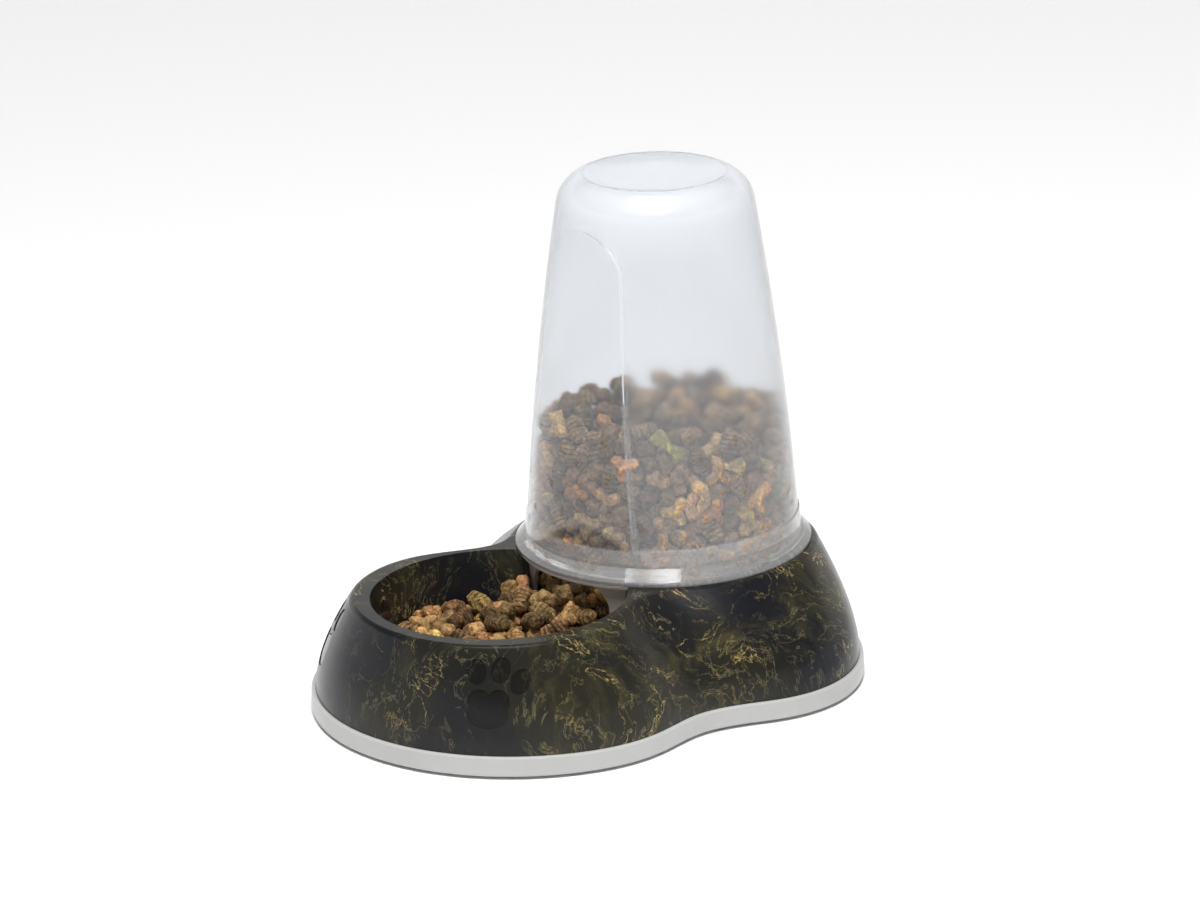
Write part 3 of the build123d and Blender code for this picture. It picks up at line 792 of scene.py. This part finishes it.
def settle(kinds, centres, turns, keep_in, down, stride):
    """Pieces sunk along down in steps of stride, pushed apart and held in, each kept rigid."""
    balls = [centred_balls(kind) for kind in kinds]
    counts = np.array([len(radii) for _, radii in balls])
    starts = np.concatenate([[0], np.cumsum(counts)[:-1]])
    owner = np.repeat(np.arange(len(kinds)), counts)
    local = np.concatenate([places for places, _ in balls])
    radii = np.concatenate([radii for _, radii in balls])
    points = centres[owner] + np.einsum("nij,nj->ni", turns[owner], local)
    pairs = None
    for step in range(STEPS):
        pull = stride * max(SINK_REST, 1.0 - step / (SINK_SHARE * STEPS))
        points = points + down(points) * pull
        if step % PAIRS_EVERY == 0:
            pairs = near_pairs(points, radii, owner)
        for _ in range(PUSHES):
            points = keep_in(push_apart(points, radii, pairs), radii)
            centres = np.add.reduceat(points, starts) / counts[:, None]
            spread = (points - centres[owner])[:, :, None] * local[:, None, :]
            u, _, vt = np.linalg.svd(np.add.reduceat(spread, starts) + TURN_MEMORY * turns)
            u[:, :, 2] *= np.linalg.det(u @ vt)[:, None]
            turns = u @ vt
            points = centres[owner] + np.einsum("nij,nj->ni", turns[owner], local)
    return centres, turns


HEAP_AXIS_SOFTENING = 0.005  # nearer to the axis than this the sideways pull fades
LEAN_BELOW = FILL_TOP - 0.015
WALL_LEAN = 0.5
HEAP_SLANT = 0.17
BOWL_TILT = math.radians(4.5)
HEAP_HEAD_Y = -0.008


def down_the_hopper(points):
    """The way each ball sinks in the hopper: the heap slants, and its flanks press on the wall."""
    out = points[:, :2] - (0.0, HOPPER_Y)
    out /= np.maximum(np.linalg.norm(out, axis=1), HEAP_AXIS_SOFTENING)[:, None]
    out *= np.where(points[:, 2] < LEAN_BELOW, WALL_LEAN, 0.0)[:, None]
    out += np.array((math.sin(CAMERA_TURN), -math.cos(CAMERA_TURN))) * HEAP_SLANT
    return np.column_stack([out, np.full(len(points), -1.0)])


def down_the_heap(points):
    """The way each ball sinks in the bowl, so that the surface falls away from the mouth all round."""
    towards = np.array((0.0, HEAP_HEAD_Y)) - points[:, :2]
    towards /= np.maximum(np.linalg.norm(towards, axis=1), HEAP_AXIS_SOFTENING)[:, None]
    down = np.full((len(points), 3), -math.cos(BOWL_TILT))
    down[:, :2] = towards * math.sin(BOWL_TILT)
    return down


def drawn_kinds(rng, count):
    """Kinds of food drawn by their shares."""
    names = list(KINDS)
    shares = np.array([KINDS[n]["share"] for n in names])
    return [names[i] for i in rng.choice(len(names), count, p=shares / shares.sum())]


HOPPER_PIECES = 850
BOWL_PIECES = 315
HOPPER_START = (0.024, 0.154)  # heights between which the pieces start
BOWL_START = (0.018, 0.072)
HEIGHT_STEPS = 400
GOLDEN_TURN = math.pi * (3.0 - math.sqrt(5.0))


def flat_to_the_wall(kinds, centres, turns):
    """The turns, with the cut pieces that start near the wall facing out of it."""
    for index, kind in enumerate(kinds):
        out = Vector((centres[index, 0], centres[index, 1] - HOPPER_Y, 0.0))
        if KINDS[kind]["flat"] and out.length > CORE_R:
            facing = np.array(out.to_track_quat("Z", "Y").to_matrix())
            spin = np.array(Matrix.Rotation(GOLDEN_TURN * index, 3, "Z"))
            turns[index] = facing @ spin
    return turns


def fill_hopper(rng):
    """Pieces settled in the hopper and throat: kinds, centres, turns."""
    kinds = drawn_kinds(rng, HOPPER_PIECES)
    level = np.linspace(*HOPPER_START, HEIGHT_STEPS)
    outer = wall_radius(np.clip(level, SHELL_TOP, FILL_TOP)) - HOPPER_WALL
    inner = np.sqrt(np.clip(CORE_R**2 - np.clip(level - CORE_TOP, 0.0, None)**2, 0.0, None))
    room = np.cumsum(outer**2 - inner**2)
    share = np.linspace(0.0, 1.0, HOPPER_PIECES)
    height = np.interp(share, room / room[-1], level)
    nearest, farthest = np.interp(height, level, inner), np.interp(height, level, outer)
    reach = np.sqrt(rng.uniform(nearest**2, farthest**2))
    angle = np.arange(HOPPER_PIECES) * GOLDEN_TURN
    centres = np.stack([reach * np.cos(angle), HOPPER_Y + reach * np.sin(angle), height], 1)
    turns = flat_to_the_wall(kinds, centres, random_turns(rng, HOPPER_PIECES))
    centres, turns = settle(kinds, centres, turns, keep_in_hopper, down_the_hopper, HOPPER_STRIDE)
    return kinds, centres, turns


def fill_bowl(rng):
    """Pieces settled in the bowl, their surface rising towards the throat."""
    kinds = drawn_kinds(rng, BOWL_PIECES)
    height = np.linspace(*BOWL_START, BOWL_PIECES)
    reach = BOWL_FLOOR_R * rng.uniform(0.0, 1.0, BOWL_PIECES) ** 0.5
    angle = np.arange(BOWL_PIECES) * GOLDEN_TURN
    centres = np.stack([reach * np.cos(angle), BOWL_Y + reach * np.sin(angle), height], 1)
    turns = random_turns(rng, BOWL_PIECES)
    centres, turns = settle(kinds, centres, turns, keep_in_bowl, down_the_heap, BOWL_STRIDE)
    return kinds, centres, turns


# ------------------------------------------------------------------ the food's meshes
VARIANTS = 3
FINE = 4                     # levels of the icosphere that a piece is made from
COARSE = 3
BOWL_FINE_COUNT = 100        # the highest pieces in the bowl are fine, and all others coarse


def shape_table():
    """Points and triangles of every kind, variant and level of food."""
    table = {}
    for level in (FINE, COARSE):
        ways, triangles = unit_sphere(level)
        for kind in KINDS:
            for variant in range(VARIANTS):
                table[kind, variant, level] = (*kibble_points(kind, variant, ways), triangles)
    return table


def food_mesh(name, points, faces, tints, alongs):
    """A smooth mesh that carries each point's tint, darkened by its painted crevice shade, and its
    place along its piece.
    """
    mesh = bpy.data.meshes.new(name)
    mesh.from_pydata(np.concatenate(points).tolist(), [], np.concatenate(faces).tolist())
    mesh.polygons.foreach_set("use_smooth", [True] * len(mesh.polygons))
    layer = mesh.attributes.new("tint", "FLOAT_COLOR", "POINT")
    layer.data.foreach_set("color", np.concatenate(tints).ravel())
    mesh.attributes.new("along", "FLOAT", "POINT").data.foreach_set("value", np.concatenate(alongs))
    return mesh


def build_food(name, body, kinds, centres, turns, fine_count, shapes, rng, material):
    """One object of many pieces of food, the highest ones fine, in place of the plain CAD solid."""
    points, faces, tints, alongs = [], [], [], []
    placed = 0
    ranks = np.argsort(np.argsort(-centres[:, 2]))
    for kind, centre, turn, rank in zip(kinds, centres, turns, ranks):
        level = FINE if rank < fine_count else COARSE
        shape, painted_crevice_shade, triangles = shapes[kind, int(rng.integers(VARIANTS)), level]
        points.append(shape @ turn.T + centre)
        faces.append(triangles + placed)
        placed += len(shape)
        names = KINDS[kind]["tints"]
        tint = np.array(TINTS[names[int(rng.integers(len(names)))]])
        tint = tint * rng.uniform(0.78, 1.22) * rng.uniform(0.93, 1.07, 3)
        rings = KINDS[kind]["rings"]
        ringed = np.full(len(shape), float(rings > 0))
        # the piece's tint times the painted crevice shade of each point
        tints.append(np.column_stack([painted_crevice_shade[:, None] * tint, ringed]))
        alongs.append(shape[:, 0] / (rings or 1.0))
    mesh = food_mesh(name, points, faces, tints, alongs)
    mesh.materials.append(material)
    piece = bpy.data.objects.new(name, mesh)
    bpy.context.scene.collection.objects.link(piece)
    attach(piece, body)
    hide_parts(name)


def add_food():
    """The food in the hopper, in the throat and in the bowl, each riding on what holds it."""
    rng = np.random.default_rng(SEED)
    material = kibble_crumb()
    shapes = shape_table()
    kinds, centres, turns = fill_hopper(rng)
    in_hopper = centres[:, 2] > SHELL_TOP
    for name, body, held in (
        ("kibble_in_hopper", "hopper", in_hopper),
        ("kibble_in_throat", "throat", ~in_hopper),
    ):
        chosen = np.nonzero(held)[0]
        build_food(name, body, [kinds[i] for i in chosen], centres[chosen], turns[chosen],
                   0, shapes, rng, material)
    kinds, centres, turns = fill_bowl(rng)
    build_food("kibble_in_bowl", "base", kinds, centres, turns,
               BOWL_FINE_COUNT, shapes, rng, material)


# ------------------------------------------------------------------ the scene
add_camera()
light_world()
add_lamps()
add_floor()
bpy.context.scene.view_settings.view_transform = "Standard"

paint("outer_shell", marbled_shell())
paint("bottom_tray", moulded_plastic("pale_band", PALE_GREY, PALE_GREY_DARK, 0.38))
# the throat: pale grey plastic with painted shade
paint("throat_insert", moulded_plastic("warm_grey_throat", THROAT_GREY_PAINTED_SHADE, THROAT_GREY_PAINTED_SHADE_DARK, 0.35))
rubber = moulded_plastic("foot_rubber", RUBBER, RUBBER_DARK, 0.75)
for node_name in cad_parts:
    if node_name.startswith("foot_"):
        paint(node_name, rubber)
paint("hopper", frosted_hopper())
add_food()
